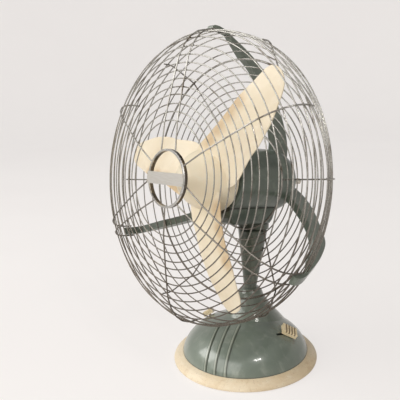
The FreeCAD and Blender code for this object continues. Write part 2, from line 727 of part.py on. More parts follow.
def link_rod():
    p = crank_point(SWING)
    q = anchor_point(SWING)
    link = bar(p, q, LINK_W, LINK_LOW, LINK_LOW + LINK_T)
    for x, y in (p, q):
        a = head_point(x, y, -60)
        link = link.cut(rod(LINK_PIN_R + RUN, a, a + Y_AXIS * 40))
    return link.removeSplitter()


# --- rotor ---

def spinner_solid():
    return smooth_turned(SPINNER, [(0, SPINNER[0][1])])


def spinner():
    inner = [(max(r - SPINNER_WALL, 0), z - (SPINNER_WALL if r < 45 else 0)) for r, z in SPINNER]
    inner[0] = (SPINNER[0][0] - SPINNER_WALL, SPINNER[0][1] - 1)
    shell = spinner_solid().cut(smooth_turned(inner, [(0, SPINNER[0][1] - 1)]))
    web = rod(SPINNER[1][0] - 1.5, V(0, 0, WEB_D[0]), V(0, 0, WEB_D[1]))
    hub = rod(BUSH_R + 4, V(0, 0, -31), V(0, 0, 8))
    return shell.fuse([web, hub]).cut(rod(BUSH_R, V(0, 0, -60), V(0, 0, 20))).removeSplitter()


def spinner_bush():
    bush = tube(BUSH_R, SHAFT_R, V(0, 0, -33), V(0, 0, 8))
    return bush.cut(spinner_screw())


def spinner_screw():
    return rod(2.0, V(0, SHAFT_R, -28), V(0, BUSH_R - 0.3, -28)).cut(rod(SHAFT_R, V(0, 0, -40), V(0, 0, 0)))


def blade(k):
    """One pitched, slightly dished blade cut to its outline and to the spinner."""
    radial = polar(1, BLADE_AZ)
    side = polar(1, BLADE_AZ + 90)
    wires = []
    for r, slope, offset in BLADE_SECTIONS:
        top = []
        for i in range(13):
            s = BLADE_HALF * (i / 6.0 - 1)
            dish = BLADE_DISH * (1 - (s / BLADE_HALF) ** 2) - CURL * max(s - CURL_FROM, 0) ** 2
            top.append(radial * r + side * s + Z_AXIS * (offset + slope * s + dish))
        low = [p - Z_AXIS * BLADE_T for p in reversed(top)]
        wires.append(Part.makePolygon(top + low + [top[0]]))
    sheet = Part.makeLoft(wires, True, True)
    edge = Part.BSplineCurve()
    rim = [polar(r, BLADE_AZ + az, -60) for az, r in BLADE_OUTLINE]
    edge.interpolate(rim)
    ends = [rim[-1], polar(20, BLADE_AZ + 12, -60), polar(20, BLADE_AZ - 18, -60), rim[0]]
    face = Part.Face(Part.Wire([edge.toShape()] + list(Part.makePolygon(ends).Edges)))
    body = sheet.common(face.extrude(Z_AXIS * 120)).cut(spinner_solid())
    body = max(body.Solids, key=lambda s: s.Volume)
    body.rotate(V(0, 0, 0), Z_AXIS, 120 * k)
    return body


# --- guard ---

def spoke(profile, az, lateral_in, lateral_out, bend):
    """A bent wire along the (r, d) profile, shifted sideways from the radius at az."""
    out = polar(1, az)
    side = polar(1, az + 90)
    r_in = profile[0][0]
    r_out = profile[-1][0]
    pts = []
    for r, d in profile:
        t = (r - r_in) / (r_out - r_in)
        lateral = lateral_in + (lateral_out - lateral_in) * t
        pts.append(out * math.sqrt(r * r - lateral * lateral) + side * lateral + Z_AXIS * d)
    return bent_path(pts, bend)


def seat(profile, bend, gap, value, by_radius=True, rear=False):
    """(r, d) of a ring that lies inside a spoke at the given radius or depth."""
    pts = spoke(profile, 0, 0, 0, bend).discretize(Number=3000)
    last = None
    for a, b in zip(pts, pts[1:]):
        t = (b - a).normalize()
        n = V(-t.z, 0, t.x) if rear else V(t.z, 0, -t.x)
        q = a + n * gap
        miss = (q.x if by_radius else q.z) - value
        if last is not None and last * miss <= 0:
            return q.x, q.z
        last = miss
    raise ValueError("no seat at " + str(value))


def hub_ring():
    r0 = HUB_R - HUB_WALL
    c = 1.0
    return turned([(r0, HUB_D[0]), (HUB_R - c, HUB_D[0]), (HUB_R, HUB_D[0] + c), (HUB_R, HUB_D[1] - c),
                   (HUB_R - c, HUB_D[1])], inner=[(r0, HUB_D[0]), (r0, HUB_D[1])])


def badge_strap():
    strap = rod(HUB_R - 0.3, V(0, 0, HUB_D[1]), V(0, 0, HUB_D[1] + STRAP_T))
    strap = strap.common(box(-HUB_R, HUB_R, -STRAP_H / 2, STRAP_H / 2, HUB_D[1], HUB_D[1] + STRAP_T))
    for s in strap_rivets():
        strap = strap.cut(s)
    return strap


def strap_rivets():
    out = []
    for x in (-HUB_R + HUB_WALL / 2, HUB_R - HUB_WALL / 2):
        for up in (-5.5, 5.5):
            out.append(rod(0.9, V(x, up, HUB_D[1]), V(x, up, HUB_D[1] + 2.0)))
    return out


def front_rings():
    gap = RING_WIRE + SPOKE_WIRE + SEAT
    return [torus(*seat(FRONT_LINE, SPOKE_BEND, gap, r), RING_WIRE) for r in FRONT_RINGS]


def front_spokes():
    out = []
    pair_line = [(FRONT_LINE[0][0] + PAIR_STEP, FRONT_LINE[0][1])] + FRONT_LINE[1:]
    for k in range(6):
        az = 30 + 60 * k + FRONT_PHASE
        if k % 2 == 0:
            path = spoke(FRONT_LINE, az, 0, 0, SPOKE_BEND)
            out.append(wire_along(path, SPOKE_WIRE))
            continue
        for side in (-1, 1):
            path = spoke(pair_line, az, side * PAIR_AT_HUB, side * PAIR_AT_RIM, SPOKE_BEND)
            out.append(wire_along(path, SPOKE_WIRE))
    return out


def rim_wires():
    gap = RIM_WIRE + SPOKE_WIRE + SEAT
    rims = [seat(FRONT_LINE, SPOKE_BEND, gap, d, False) for d in RIM_D]
    rims += [seat(REAR_SPOKE, KNEE_BEND, gap, d, False, True) for d in SHOULDER_D]
    return [torus(r, d, RIM_WIRE) for r, d in rims]


def rear_rings():
    gap = RING_WIRE + SPOKE_WIRE + SEAT
    seats = [seat(REAR_SPOKE, KNEE_BEND, gap, r, True, True) for r in REAR_RINGS + SHOULDER_RINGS]
    return [torus(r, d, RING_WIRE) for r, d in seats]


def knee_seat():
    return seat(REAR_SPOKE, KNEE_BEND, KNEE_WIRE + SPOKE_WIRE + SEAT, KNEE_R, True, True)


def rear_spokes():
    paths = [spoke(REAR_SPOKE, REAR_PHASE + 60 * k, 0, 0, KNEE_BEND) for k in range(6)]
    return [wire_along(path, SPOKE_WIRE) for path in paths]


def inner_ring():
    return torus(REAR_SPOKE[0][0] - KNEE_WIRE - SEAT, REAR_SPOKE[0][1], KNEE_WIRE)


def guard_arm(az, wires):
    """Curved arm from the tail of the motor out past the knee ring to the rim."""
    outer = Part.BSplineCurve()
    outer.interpolate([V(r, 0, d) for r, d in ARM_OUTER[1:-1]])
    corners = [ARM_OUTER[-2], ARM_OUTER[-1], ARM_INNER[0]]
    inner = Part.BSplineCurve()
    inner.interpolate([V(r, 0, d) for r, d in ARM_INNER[4:]])
    straight = [V(r, 0, d) for r, d in corners + ARM_INNER[1:5]]
    closing = [V(ARM_INNER[-1][0], 0, ARM_INNER[-1][1]), V(44, 0, -151), V(30, 0, -165), V(30, 0, -187),
               V(ARM_OUTER[1][0], 0, ARM_OUTER[1][1])]
    edges = [outer.toShape()] + list(Part.makePolygon(straight).Edges) + [inner.toShape()]
    edges += list(Part.makePolygon(closing).Edges)
    face = Part.Face(Part.Wire(edges))
    arm = face.extrude(V(0, ARM_W, 0))
    arm.translate(V(0, -ARM_W / 2, 0))
    arm = arm.cut(motor_body())
    for r, d, w in wires:
        arm = arm.cut(torus(r, d, w + SEAT))
    arm = max(arm.Solids, key=lambda s: s.Volume)
    arm.rotate(V(0, 0, 0), Z_AXIS, az)
    p = polar(ARM_SCREW_AT, az)
    arm = arm.cut(rod(ARM_SCREW_R, V(p.x, p.y, -200), V(p.x, p.y, -150)))
    return arm.cut(rod(4.0, V(p.x, p.y, -200), V(p.x, p.y, -181)))


def arm_screws():
    out = []
    for az in ARMS.values():
        p = polar(ARM_SCREW_AT, az)
        shank = rod(ARM_SCREW_R, V(p.x, p.y, -184), V(p.x, p.y, -156))
        cap = rod(3.9, V(p.x, p.y, -184.5), V(p.x, p.y, -181))
        out.append(shank.fuse(cap).removeSplitter())
    return out


# --- write everything ---

def torus_data(t, wire):
    surface = t.Faces[0].Surface
    return surface.MajorRadius, surface.Center.z, wire


def main():
    os.makedirs("parts", exist_ok=True)
    save(felt_pad(), "felt_pad")
    save(base_plate(), "base_plate")
    save(plate_screws(), "plate_screws")
    save(base_ring(), "base_ring")
    save(base_dome(), "base_dome")
    save(cable_gland(), "cable_gland")
    save(column(), "column")
    save(tilt_pin(), "tilt_pin")
    for side, word in ((1, "right"), (-1, "left")):
        save(slider(side), "slider_" + word)
        save(switch_body(side), "switch_" + word)
    save_knuckle(tilt_knuckle(), "tilt_knuckle")
    save_knuckle(anchor_arm(), "anchor_arm")
    save_head(gear_pan(), "gear_pan")
    save_head(pan_screws(), "pan_screws")
    save_head(motor_shell(True), "motor_front_shell")
    save_head(motor_shell(False), "motor_rear_shell")
    save_head(oscillation_knob(), "oscillation_knob")
    save_head(stator_core(), "stator_core")
    save_head(windings(), "windings")
    save_head(rotor_core(), "rotor_core")
    save_head(motor_shaft(), "motor_shaft")
    save_head(front_bush(), "front_bush")
    save_head(rear_bush(), "rear_bush")
    save_head(rear_bracket(), "rear_bracket")
    save_head(spindle_shelf(), "spindle_shelf")
    save_head(worm(), "worm")
    save_head(worm_wheel(), "worm_wheel")
    save_head(wheel_spindle(), "wheel_spindle")
    save_head(crank_disc(), "crank_disc")
    save_head(link_rod(), "link_rod")
    save_head(spinner(), "spinner")
    save_head(spinner_bush(), "spinner_bush")
    save_head(spinner_screw(), "spinner_screw")
    for k in range(3):
        save_head(blade(k), "blade_" + str(k + 1))
    save_head(hub_ring(), "hub_ring")
    save_head(badge_strap(), "badge_strap")
    save_head(strap_rivets(), "strap_rivets")
    save_head(front_rings(), "front_rings")
    save_head(front_spokes(), "front_spokes")
    save_head(rim_wires(), "rim_wires")
    save_head(rear_rings(), "rear_rings")
    save_head(torus(*knee_seat(), KNEE_WIRE), "knee_ring")
    save_head(rear_spokes(), "rear_spokes")
    save_head(inner_ring(), "inner_ring")
    wires = [torus_data(t, RIM_WIRE) for t in rim_wires()]
    wires += [torus_data(t, RING_WIRE) for t in rear_rings()]
    wires.append(knee_seat() + (KNEE_WIRE,))
    for name, az in ARMS.items():
        save_head(guard_arm(az, wires), name)
    save_head(arm_screws(), "arm_screws")


main()
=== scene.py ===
import math

import bmesh
import bpy
from mathutils import Matrix, Vector


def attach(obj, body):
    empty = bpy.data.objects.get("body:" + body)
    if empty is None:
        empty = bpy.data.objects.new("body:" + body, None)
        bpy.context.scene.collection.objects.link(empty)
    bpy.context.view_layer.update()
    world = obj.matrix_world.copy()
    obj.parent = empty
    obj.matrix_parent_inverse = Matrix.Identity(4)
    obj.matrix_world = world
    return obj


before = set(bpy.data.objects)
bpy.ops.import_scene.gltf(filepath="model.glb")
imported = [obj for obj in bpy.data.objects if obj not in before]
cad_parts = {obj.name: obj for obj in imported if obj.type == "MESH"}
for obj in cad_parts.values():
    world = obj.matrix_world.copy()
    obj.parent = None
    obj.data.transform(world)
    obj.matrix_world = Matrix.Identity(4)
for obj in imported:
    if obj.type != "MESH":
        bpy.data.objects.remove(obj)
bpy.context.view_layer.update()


# --- stage ---
# A pale round sweep of paper: a floor that curves up into a wall on all sides.  It isn't
# part of the fan.  The camera stands to the right of the fan and a little above its shaft.

SWEEP_PROFILE = ((0, 0), (3.4, 0), (3.8, 0.05), (4.1, 0.2), (4.3, 0.5), (4.36, 0.9), (4.36, 2.2))
SWEEP_STEPS = 64
SHOWN_WHITE = 0.7  # share of its own white that the camera sees on the paper
MIRRORED_WHITE = 0.4  # share of it that gloss and metal mirror
CAMERA_PLACE = (0.45356, -0.77222, 0.47663)
CAMERA_TURN = (77.2052, 2.5147, 33.9984)  # degrees
CAMERA_LENS = 51.589  # millimetres, on a sensor 36 mm wide


def tone(r, g, b):
    """Linear colour of a tint given as it looks, 0 to 255."""
    out = []
    for v in (r / 255.0, g / 255.0, b / 255.0):
        out.append(v / 12.92 if v <= 0.04045 else ((v + 0.055) / 1.055) ** 2.4)
    return (out[0], out[1], out[2], 1.0)


def feed(tree, node, inputs):
    """Give a node's inputs fixed values, or links from other nodes' outputs."""
    for key, value in inputs.items():
        if isinstance(value, bpy.types.NodeSocket):
            tree.links.new(value, node.inputs[key])
        else:
            node.inputs[key].default_value = value


class Recipe:
    """One material in the making, with the object coordinates of its piece."""

    def __init__(self, name):
        self.material = bpy.data.materials.new(name)
        self.material.use_nodes = True
        self.tree = self.material.node_tree
        self.shader = self.tree.nodes["Principled BSDF"]
        self.place = self.tree.nodes.new("ShaderNodeTexCoord").outputs["Object"]

    def set(self, **values):
        """Fixed values of the shader, with underscores for the spaces of their names."""
        for key, value in values.items():
            self.shader.inputs[key.replace("_", " ")].default_value = value

    def wire(self, source, socket):
        """Lead a pattern to a socket of the shader."""
        self.tree.links.new(source, self.shader.inputs[socket])

    def grain(self, scale, detail=4.0, rough=0.55, stretch=(1, 1, 1), warp=0.0):
        """Noise, as large as 1/scale metres, drawn out along an axis by a small stretch."""
        spot = self.tree.nodes.new("ShaderNodeMapping")
        feed(self.tree, spot, {"Vector": self.place, "Scale": stretch})
        noise = self.tree.nodes.new("ShaderNodeTexNoise")
        feed(self.tree, noise, {"Vector": spot.outputs["Vector"], "Scale": scale,
                                "Detail": detail, "Roughness": rough, "Distortion": warp})
        return noise.outputs["Fac"]

    def span(self, value, low, high, to_low=0.0, to_high=1.0):
        """A smooth step from to_low to to_high while the value goes from low to high."""
        node = self.tree.nodes.new("ShaderNodeMapRange")
        node.interpolation_type = "SMOOTHSTEP"
        feed(self.tree, node, {"Value": value, "From Min": low, "From Max": high,
                               "To Min": to_low, "To Max": to_high})
        return node.outputs["Result"]

    def blend(self, amount, first, second):
        """The first colour at 0 and the second at 1."""
        node = self.tree.nodes.new("ShaderNodeMix")
        node.data_type = "RGBA"
        feed(self.tree, node, {0: amount, 6: first, 7: second})
        return node.outputs[2]

    def sum(self, kind, first, second):
        """A sum of one of the math node's kinds."""
        node = self.tree.nodes.new("ShaderNodeMath")
        node.operation = kind
        feed(self.tree, node, {0: first, 1: second})
        return node.outputs[0]

    def times(self, first, *others):
        """The product of two or more values."""
        for other in others:
            first = self.sum("MULTIPLY", first, other)
        return first

    def relief(self, height, strength, depth, after=None):
        """A shallow relief, laid over an earlier one if there is one."""
        node = self.tree.nodes.new("ShaderNodeBump")
        feed(self.tree, node, {"Height": height, "Strength": strength, "Distance": depth})
        if after is not None:
            feed(self.tree, node, {"Normal": after})
        self.wire(node.outputs["Normal"], "Normal")
        return node.outputs["Normal"]


def add_piece(name, bm, finish):
    """Turn a finished bmesh into a smooth piece of one finish."""
    mesh = bpy.data.meshes.new(name)
    bm.to_mesh(mesh)
    bm.free()
    piece = bpy.data.objects.new(name, mesh)
    bpy.context.scene.collection.objects.link(piece)
    mesh.materials.append(finish.material)
    for face in mesh.polygons:
        face.use_smooth = True
    return piece


sweep_paper = Recipe("sweep_paper")
cloud = sweep_paper.span(sweep_paper.grain(1.5, 2.0), 0.3, 0.7)
sweep_paper.wire(sweep_paper.blend(cloud, tone(238, 233, 229), tone(244, 240, 236)), "Base Color")
sweep_paper.wire(sweep_paper.span(sweep_paper.grain(60.0), 0.2, 0.8, 0.85, 0.97), "Roughness")
sweep_paper.relief(sweep_paper.grain(900.0, 2.0), 0.05, 0.0002)
sweep_paper.set(Specular_IOR_Level=0.1)
lit = sweep_paper.tree.nodes.new("ShaderNodeEmission")
feed(sweep_paper.tree, lit, {"Color": tone(254, 250, 248)})
seen = sweep_paper.tree.nodes.new("ShaderNodeLightPath").outputs
share = sweep_paper.sum("MAXIMUM", sweep_paper.times(seen["Is Camera Ray"], SHOWN_WHITE),
                        sweep_paper.times(seen["Is Glossy Ray"], MIRRORED_WHITE))
both = sweep_paper.tree.nodes.new("ShaderNodeMixShader")
feed(sweep_paper.tree, both, {0: share, 1: sweep_paper.shader.outputs[0], 2: lit.outputs[0]})
feed(sweep_paper.tree, sweep_paper.tree.nodes["Material Output"], {"Surface": both.outputs[0]})

sweep = bmesh.new()
edge = [sweep.verts.new((r, 0.0, z)) for r, z in SWEEP_PROFILE]
rail = [sweep.edges.new(pair) for pair in zip(edge, edge[1:])]
bmesh.ops.spin(sweep, geom=edge + rail, cent=(0, 0, 0), axis=(0, 0, 1), angle=math.tau,
               steps=SWEEP_STEPS, use_merge=True)
bmesh.ops.remove_doubles(sweep, verts=sweep.verts[:], dist=0.0001)
bmesh.ops.recalc_face_normals(sweep, faces=sweep.faces[:])
bmesh.ops.reverse_faces(sweep, faces=sweep.faces[:])
add_piece("sweep", sweep, sweep_paper)

camera = bpy.data.objects.new("camera", bpy.data.cameras.new("camera"))
bpy.context.scene.collection.objects.link(camera)
camera.location = CAMERA_PLACE
camera.rotation_euler = [math.radians(v) for v in CAMERA_TURN]
camera.data.sensor_width = 36.0
camera.data.lens = CAMERA_LENS
camera.data.clip_end = 50.0
bpy.context.scene.camera = camera


# --- foot ---
# The underside: a disc of pressed grey felt glued to a pressed steel plate, which three
# countersunk screws hold up against posts inside the base.

def finish_node(finish, *names):
    """Give the fan's solids their finish."""
    for name in names:
        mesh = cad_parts[name].data
        mesh.materials.clear()
        mesh.materials.append(finish.material)


felt = Recipe("pressed_felt")
tuft = felt.grain(700.0, 6.0, 0.7)
felt.wire(felt.blend(felt.span(tuft, 0.35, 0.65), tone(66, 68, 62), tone(112, 113, 104)),
          "Base Color")
felt.relief(tuft, 0.6, 0.0008)
felt.set(Roughness=0.95, Sheen_Weight=0.4)
finish_node(felt, "felt_pad")

sheet_steel = Recipe("painted_sheet_steel")
rust = sheet_steel.span(sheet_steel.grain(120.0, 8.0, 0.7), 0.56, 0.68)
dull = sheet_steel.blend(sheet_steel.span(sheet_steel.grain(30.0), 0.3, 0.7),
                         tone(92, 94, 88), tone(118, 119, 112))
sheet_steel.wire(sheet_steel.blend(rust, dull, tone(105, 70, 44)), "Base Color")
sheet_steel.wire(sheet_steel.sum("ADD", sheet_steel.times(rust, 0.4), 0.45), "Roughness")
sheet_steel.relief(sheet_steel.grain(400.0), 0.15, 0.0003)
sheet_steel.set(Metallic=0.6)
finish_node(sheet_steel, "base_plate")

zinc = Recipe("zinc_plated_screw")
pit = zinc.grain(900.0, 5.0, 0.65)
zinc.wire(zinc.blend(zinc.span(pit, 0.4, 0.7), tone(176, 172, 162), tone(112, 100, 84)),
          "Base Color")
zinc.wire(zinc.span(pit, 0.3, 0.7, 0.28, 0.55), "Roughness")
zinc.relief(pit, 0.2, 0.0002)
zinc.set(Metallic=1.0)
finish_node(zinc, "plate_screws")


# --- cream ring of the base ---
# A heavy cast ring around the foot, in ivory enamel that has yellowed, with patches of brown
# grime and stained specks.

def enamel(name, body, deep, pale, stain, gloss=(0.32, 0.5), run=(1, 1, 1), stain_from=0.62,
           coat=0.45):
    """Aged glossy enamel: cloudy colour, paler rubs, stained specks and orange peel."""
    mix = Recipe(name)
    clouds = mix.span(mix.grain(14.0, 3.0), 0.32, 0.68)
    rubs = mix.span(mix.grain(55.0, 8.0, 0.62, run, 0.4), 0.48, 0.72)
    specks = mix.span(mix.grain(420.0, 6.0, 0.7), stain_from, stain_from + 0.07)
    colour = mix.blend(clouds, body, deep)
    colour = mix.blend(mix.times(rubs, 0.55), colour, pale)
    mix.colour = mix.blend(mix.times(specks, 0.6), colour, stain)
    mix.wire(mix.colour, "Base Color")
    haze = mix.sum("ADD", mix.times(rubs, gloss[1] - gloss[0]), gloss[0])
    mix.wire(mix.sum("ADD", haze, mix.times(specks, 0.2)), "Roughness")
    peel = mix.grain(240.0, 2.0, 0.5)
    mix.relief(specks, -0.25, 0.0002, mix.relief(peel, 0.05, 0.0006))
    mix.set(Specular_IOR_Level=0.4, Coat_Weight=coat, Coat_Roughness=0.13)
    return mix


ivory_ring = enamel("ivory_ring_enamel", tone(238, 223, 196), tone(227, 207, 174),
                    tone(246, 236, 214), tone(140, 102, 60), gloss=(0.5, 0.65), stain_from=0.6,
                    coat=0.08)
grime = ivory_ring.span(ivory_ring.grain(26.0, 9.0, 0.7, warp=0.8), 0.56, 0.72)
ivory_ring.wire(ivory_ring.blend(ivory_ring.times(grime, 0.5), ivory_ring.colour,
                                 tone(196, 164, 116)), "Base Color")
finish_node(ivory_ring, "base_ring")


# --- dome ---
# The cast base, with three raised beads down its front and a neck that rises to the
# column, in grey-green gloss enamel with fine runs and small rubs.

GREEN = tone(128, 138, 127)
GREEN_DEEP = tone(110, 121, 110)
GREEN_PALE = tone(154, 161, 149)
GREEN_CHIP = tone(66, 56, 42)
SHOULDERS = ((0.074, 0.010, 0.056), (-0.074, 0.010, 0.056))  # round the sliders
SHOULDER_REACH = 0.034
BEAD_PITCH = 0.0175
BEAD_TURN = math.radians(10.0)
BEAD_MIDDLE = (-0.0126, -0.0022, 0.0)
BEAD_BAND = (0.0225, 0.0235)  # half the width that the three beads take up
BEAD_START = (-0.037, -0.034)  # how far ahead of the dome's axis they begin
CREST = (0.0012, 0.0019)  # half the width of the painted highlight along a bead's top
FOOT_NEAR, FOOT_FAR = (0.0019, 0.0025), (0.0028, 0.0038)  # strip of painted shade at a bead's foot
RING_JOIN = (0.0176, 0.0162)  # heights between which the dome goes into the cream ring
NECK_SHADE_RISE = (0.072, 0.1)  # heights over which painted shade from the head darkens the neck


def vector_sum(recipe, kind, first, second=(0.0, 0.0, 0.0)):
    """The outputs of one of the vector math node's kinds."""
    node = recipe.tree.nodes.new("ShaderNodeVectorMath")
    node.operation = kind
    feed(recipe.tree, node, {0: first, 1: second})
    return node.outputs


def offset(recipe, origin, toward):
    """Metres from a place of the piece along a direction."""
    gap = vector_sum(recipe, "SUBTRACT", recipe.place, origin)["Vector"]
    return vector_sum(recipe, "DOT_PRODUCT", gap, toward)["Value"]


def near(recipe, point, reach):
    """1 at a point of the piece, falling to 0 at the reach in metres."""
    gap = vector_sum(recipe, "DISTANCE", recipe.place, point)["Value"]
    return recipe.span(gap, reach * 0.3, reach, 1.0, 0.0)


def along_height(recipe, low, high):
    """0 to 1 between two heights of the piece."""
    parts = recipe.tree.nodes.new("ShaderNodeSeparateXYZ")
    feed(recipe.tree, parts, {0: recipe.place})
    return recipe.span(parts.outputs["Z"], low, high)


dome_enamel = enamel("dome_enamel", GREEN, GREEN_DEEP, GREEN_PALE, GREEN_CHIP,
                     gloss=(0.3, 0.46), run=(1, 1, 0.25), stain_from=0.66)
# Brown marks round the sliders are a painted reflection of the sliders in the gloss, broken up by
# noise.
by_sliders = dome_enamel.sum("MAXIMUM", near(dome_enamel, SHOULDERS[0], SHOULDER_REACH),
                         near(dome_enamel, SHOULDERS[1], SHOULDER_REACH))
slider_reflection = dome_enamel.span(dome_enamel.grain(130.0, 8.0, 0.72, warp=0.6), 0.5, 0.62)
slider_reflection = dome_enamel.times(slider_reflection, by_sliders, 0.85)
# Painted highlights make the tops of the three beads paler and painted shade lies along their
# feet; the dome also darkens where it goes into the cream ring.
across = offset(dome_enamel, BEAD_MIDDLE, (math.cos(BEAD_TURN), math.sin(BEAD_TURN), 0))
ahead = offset(dome_enamel, (0, 0, 0), (-math.sin(BEAD_TURN), math.cos(BEAD_TURN), 0))
from_bead = dome_enamel.sum("PINGPONG", across, BEAD_PITCH / 2)
beads = dome_enamel.times(
    dome_enamel.span(dome_enamel.sum("ABSOLUTE", across, 0.0), *BEAD_BAND, 1.0, 0.0),
    dome_enamel.span(ahead, *BEAD_START, 1.0, 0.0))
crest = dome_enamel.times(dome_enamel.span(from_bead, *CREST, 0.5, 0.0), beads)
foot = dome_enamel.times(dome_enamel.span(from_bead, *FOOT_NEAR),
                         dome_enamel.span(from_bead, *FOOT_FAR, 1.0, 0.0), beads, 0.6)
joint = dome_enamel.times(along_height(dome_enamel, *RING_JOIN), 0.7)
# Painted shade from the head above darkens the neck.
neck_shade = dome_enamel.times(along_height(dome_enamel, *NECK_SHADE_RISE), 0.55)
dome_light_and_shade = dome_enamel.blend(crest, dome_enamel.colour, tone(176, 181, 166))
dome_light_and_shade = dome_enamel.blend(dome_enamel.sum("MAXIMUM", foot, joint), dome_light_and_shade,
                              tone(58, 60, 48))
dome_light_and_shade = dome_enamel.blend(neck_shade, dome_light_and_shade, tone(84, 90, 79))
dome_enamel.wire(dome_enamel.blend(slider_reflection, dome_light_and_shade, tone(104, 82, 56)), "Base Color")
dome_enamel.set(Coat_Weight=0.8, Coat_Roughness=0.12)
finish_node(dome_enamel, "base_dome")

lead_rubber = Recipe("aged_rubber")
bloom = lead_rubber.grain(180.0, 5.0)
lead_rubber.wire(lead_rubber.blend(lead_rubber.span(bloom, 0.4, 0.7), tone(38, 36, 33),
                                   tone(70, 67, 61)), "Base Color")
lead_rubber.relief(bloom, 0.2, 0.0003)
lead_rubber.set(Roughness=0.75)
finish_node(lead_rubber, "cable_gland")


# --- sliders ---
# Two finger blocks of ivory plastic with grip ridges, one on each shoulder of the dome, with
# brown grime and painted shade in their grooves.  Each moves a switch in a dark moulded case
# below.

SLIDERS = (  # name, middle of the block, direction across its grooves, direction outward
    ("slider_right", (0.0803, 0.011, 0.0608), (0.695, 0.534, -0.482), (0.559, 0.02, 0.829)),
    ("slider_left", (-0.0803, 0.011, 0.0608), (0.439, -0.841, 0.316), (-0.559, 0.02, 0.829)),
)
GROOVE_PITCH = 0.005
GROOVE = (0.0012, 0.0018)  # from the middle of a ridge to the groove beside it
GROOVE_END = (0.0092, 0.01)  # half the length over which the block is grooved
GROOVE_FLOOR = (-0.0034, -0.0016)  # depth at which the grooves begin

for name, centre, run, out in SLIDERS:
    plastic = enamel(name + "_plastic", tone(238, 220, 182), tone(226, 204, 160),
                     tone(244, 232, 204), tone(120, 86, 48), gloss=(0.35, 0.5), stain_from=0.6)
    reach = offset(plastic, centre, run)
    groove = plastic.span(plastic.sum("PINGPONG", reach, GROOVE_PITCH / 2), *GROOVE)
    inner = plastic.span(plastic.sum("ABSOLUTE", reach, 0.0), *GROOVE_END, 1.0, 0.0)
    upper = plastic.span(offset(plastic, centre, out), *GROOVE_FLOOR)
    # Brown grime and painted shade darken the grooves.
    groove_grime_and_shade = plastic.times(groove, inner, upper, 0.9)
    plastic.wire(plastic.blend(groove_grime_and_shade, plastic.colour, tone(104, 76, 46)), "Base Color")
    finish_node(plastic, name)

dark_moulding = Recipe("dark_moulding")
swirl = dark_moulding.grain(70.0, 6.0, 0.6, warp=1.5)
dark_moulding.wire(dark_moulding.blend(dark_moulding.span(swirl, 0.4, 0.65),
                                       tone(48, 36, 28), tone(76, 56, 42)), "Base Color")
dark_moulding.wire(dark_moulding.span(swirl, 0.3, 0.7, 0.3, 0.45), "Roughness")
dark_moulding.relief(dark_moulding.grain(500.0), 0.08, 0.0003)
finish_node(dark_moulding, "switch_right", "switch_left")


# --- column and knuckle ---
# A cast column that widens upward into a rounded crown, in the same enamel, painted darker as
# shade from the head above.  The knuckle's cap rides over the crown and tilts on a steel pin.

# The column's enamel is the dome's green painted darker, as painted shade from the head.
shaded_column_enamel = enamel("shaded_column_enamel", tone(82, 91, 80), tone(64, 73, 63),
                       tone(114, 121, 107), GREEN_CHIP, gloss=(0.3, 0.48), run=(1, 1, 0.15),
                       stain_from=0.62)
blotch = shaded_column_enamel.span(shaded_column_enamel.grain(95.0, 9.0, 0.75, (1, 1, 0.6), 0.5), 0.47, 0.63)
bare = shaded_column_enamel.span(shaded_column_enamel.grain(210.0, 8.0, 0.7), 0.6, 0.66)
worn_shaded_column = shaded_column_enamel.blend(shaded_column_enamel.times(blotch, 0.55), shaded_column_enamel.colour,
                                  tone(118, 117, 102))
shaded_column_enamel.wire(shaded_column_enamel.blend(shaded_column_enamel.times(bare, 0.8), worn_shaded_column,
                                       tone(58, 50, 40)), "Base Color")
finish_node(shaded_column_enamel, "column", "tilt_knuckle")

machined_steel = Recipe("machined_steel")
turning = machined_steel.grain(260.0, 6.0, 0.6, (1, 1, 8))
machined_steel.wire(machined_steel.blend(machined_steel.span(turning, 0.35, 0.7),
                                         tone(150, 148, 143), tone(104, 98, 90)), "Base Color")
machined_steel.wire(machined_steel.span(turning, 0.3, 0.7, 0.25, 0.45), "Roughness")
machined_steel.relief(turning, 0.12, 0.0002)
machined_steel.set(Metallic=1.0)
finish_node(machined_steel, "tilt_pin", "anchor_arm")


# --- gear pan and motor housing ---
# A pressed steel pan under the motor and a two-part drum round it, in the same enamel.
# A push-pull knob on its tail puts the swing in and out of gear.

PIVOT = (0, 0.034, 0.1816)
REST_TILT, REST_SWING = -9.9, -15.2  # degrees
SHAFT_RISE = 114.0  # mm from the pivot up to the shaft
RIM_AHEAD = 121.0  # mm from the pivot forward to the rim of the guard
SEAM = (0.0532, 0.0542)  # from the shaft to the seam where the pan meets the drum

HEAD = (Matrix.Translation(PIVOT) @ Matrix.Rotation(math.radians(REST_TILT), 4, "X")
        @ Matrix.Rotation(math.radians(REST_SWING), 4, "Z"))
SHAFT = HEAD.to_3x3() @ Vector((0, -1, 0))


def head_point(r, az, depth):
    """Place on the head at a radius and angle round the shaft, and ahead of the rim, in mm."""
    a = math.radians(az)
    local = Vector((r * math.cos(a), -RIM_AHEAD - depth, r * math.sin(a) + SHAFT_RISE))
    return HEAD @ (local * 0.001)


def radius(recipe, origin, axis):
    """Metres from an axis of the piece."""
    gap = vector_sum(recipe, "SUBTRACT", recipe.place, origin)["Vector"]
    aside = vector_sum(recipe, "CROSS_PRODUCT", gap, axis)["Vector"]
    return vector_sum(recipe, "LENGTH", aside)["Value"]


housing_enamel = enamel("housing_enamel", tone(96, 107, 97), tone(78, 90, 80),
                        tone(132, 142, 129), GREEN_CHIP, gloss=(0.28, 0.44), run=(0.4, 1, 1),
                        stain_from=0.64)
finish_node(housing_enamel, "motor_front_shell", "motor_rear_shell")

